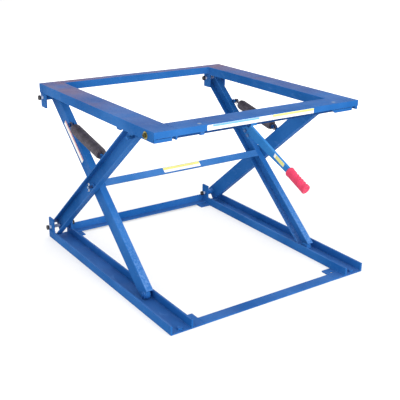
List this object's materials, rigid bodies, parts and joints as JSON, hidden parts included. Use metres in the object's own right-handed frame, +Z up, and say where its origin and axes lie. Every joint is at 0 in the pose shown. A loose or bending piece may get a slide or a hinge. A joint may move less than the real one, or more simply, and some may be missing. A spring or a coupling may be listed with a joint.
{
  "type": "scissor lift table",
  "caption": "Open blue steel stand whose top frame is raised by crossed channel legs with spring assist, and held by a hook lock worked from a front lever.",
  "frame": {"origin": "middle of the floor anchor hole pattern, on the floor plane under the floor frame", "axes": "+X to the right seen from the lever side, +Y from the lever side to the hinge side, +Z up"},
  "size_m": [1.055, 1.3559, 0.762],
  "materials": {
    "frame_blue": "satin",
    "zinc": "satin",
    "yellow_zinc": "satin",
    "black_steel": "satin",
    "roller_steel": "satin",
    "spring_steel": "satin",
    "grip_vinyl": "matte"
  },
  "bodies": {
    "base": {"base_channel_left": "frame_blue", "base_channel_right": "frame_blue", "base_front_bar": "frame_blue", "base_rear_angle": "frame_blue", "floor_tabs": "frame_blue", "base_hinge_lugs": "frame_blue", "base_hinge_pins": "zinc", "base_pin_caps": "black_steel", "base_stop_bolts": "frame_blue"},
    "outer_legs": {"outer_leg_left": "frame_blue", "outer_leg_right": "frame_blue", "pivot_pins": "zinc", "pivot_nuts": "zinc", "pivot_washers": "black_steel", "top_axles": "zinc", "top_axle_rings": "black_steel", "catch_pins": "frame_blue", "front_spring_lugs": "frame_blue", "front_spring_pins": "frame_blue"},
    "inner_legs": {"inner_leg_left": "frame_blue", "inner_leg_right": "frame_blue", "tie_bar": "frame_blue", "base_axles": "frame_blue", "base_axle_rings": "frame_blue", "rear_spring_lugs": "frame_blue", "rear_spring_pins": "frame_blue"},
    "platform": {"deck_rail_left": "frame_blue", "deck_rail_right": "frame_blue", "deck_front_rail": "frame_blue", "deck_rear_rail": "frame_blue", "deck_stop_plate_left": "frame_blue", "deck_stop_plate_right": "frame_blue", "deck_hinge_lugs": "frame_blue", "deck_hinge_pins": "zinc", "deck_pin_caps": "black_steel", "guide_bolts": "yellow_zinc", "guide_nuts": "yellow_zinc", "shaft_hangers": "frame_blue", "hanger_screws": "zinc"},
    "top_roller_left_body": {"top_roller_left": "roller_steel"},
    "top_roller_right_body": {"top_roller_right": "roller_steel"},
    "base_roller_left_body": {"base_roller_left": "frame_blue"},
    "base_roller_right_body": {"base_roller_right": "frame_blue"},
    "lock": {"lock_shaft": "black_steel", "hook_left": "frame_blue", "hook_right": "frame_blue", "lever_bracket": "frame_blue", "release_lever": "frame_blue", "lever_bolts": "zinc", "lever_nuts": "zinc", "lever_grip": "grip_vinyl"},
    "spring_left": {"spring_coil_left": "spring_steel", "spring_rear_eye_left": "spring_steel"},
    "spring_right": {"spring_coil_right": "spring_steel", "spring_rear_eye_right": "spring_steel"},
    "spring_end_left": {"spring_front_eye_left": "spring_steel"},
    "spring_end_right": {"spring_front_eye_right": "spring_steel"}
  },
  "joints": [
    {"name": "lift", "type": "hinge", "parent": "base", "child": "outer_legs", "pos_m": [0, 0.535, 0.06], "axis": [-1, 0, 0], "range_deg": [-13.44, 0]},
    {"name": "scissor", "type": "hinge", "parent": "outer_legs", "child": "inner_legs", "pos_m": [0, 0.13484, 0.381], "axis": [-1, 0, 0], "range_deg": [0, 26.87]},
    {"name": "deck_level", "type": "hinge", "parent": "inner_legs", "child": "platform", "pos_m": [0, 0.535, 0.702], "axis": [-1, 0, 0], "range_deg": [-13.44, 0]},
    {"name": "lock_turn", "type": "hinge", "parent": "platform", "child": "lock", "pos_m": [0, -0.438, 0.732], "axis": [1, 0, 0], "range_deg": [-7, 0]},
    {"name": "top_roller_left_spin", "type": "hinge", "parent": "outer_legs", "child": "top_roller_left_body", "pos_m": [-0.475, -0.26143, 0.735], "axis": [1, 0, 0], "continuous": true},
    {"name": "base_roller_left_spin", "type": "hinge", "parent": "inner_legs", "child": "base_roller_left_body", "pos_m": [-0.439, -0.26143, 0.027], "axis": [1, 0, 0], "continuous": true},
    {"name": "spring_left_swing", "type": "hinge", "parent": "inner_legs", "child": "spring_left", "pos_m": [-0.461, 0.34521, 0.60918], "axis": [-1, 0, 0], "range_deg": [-6.88, 0]},
    {"name": "spring_left_stretch", "type": "slide", "parent": "spring_left", "child": "spring_end_left", "axis": [0, -0.9777, -0.2101], "range_m": [0, 0.0771], "deforming": ["spring_coil_left"]},
    {"name": "top_roller_right_spin", "type": "hinge", "parent": "outer_legs", "child": "top_roller_right_body", "pos_m": [0.475, -0.26143, 0.735], "axis": [1, 0, 0], "continuous": true},
    {"name": "base_roller_right_spin", "type": "hinge", "parent": "inner_legs", "child": "base_roller_right_body", "pos_m": [0.439, -0.26143, 0.027], "axis": [1, 0, 0], "continuous": true},
    {"name": "spring_right_swing", "type": "hinge", "parent": "inner_legs", "child": "spring_right", "pos_m": [0.461, 0.34521, 0.60918], "axis": [-1, 0, 0], "range_deg": [-6.88, 0]},
    {"name": "spring_right_stretch", "type": "slide", "parent": "spring_right", "child": "spring_end_right", "axis": [0, -0.9777, -0.2101], "range_m": [0, 0.0771], "deforming": ["spring_coil_right"]}
  ],
  "couplings": [
    {"joint": "scissor", "follows": "lift", "ratio": -2},
    {"joint": "deck_level", "follows": "lift", "ratio": 1},
    {"joint": "spring_left_swing", "follows": "lift", "ratio": 0.51208},
    {"joint": "spring_left_stretch", "follows": "lift", "m_per_rad": -0.32872},
    {"joint": "spring_right_swing", "follows": "lift", "ratio": 0.51208},
    {"joint": "spring_right_stretch", "follows": "lift", "m_per_rad": -0.32872}
  ]
}
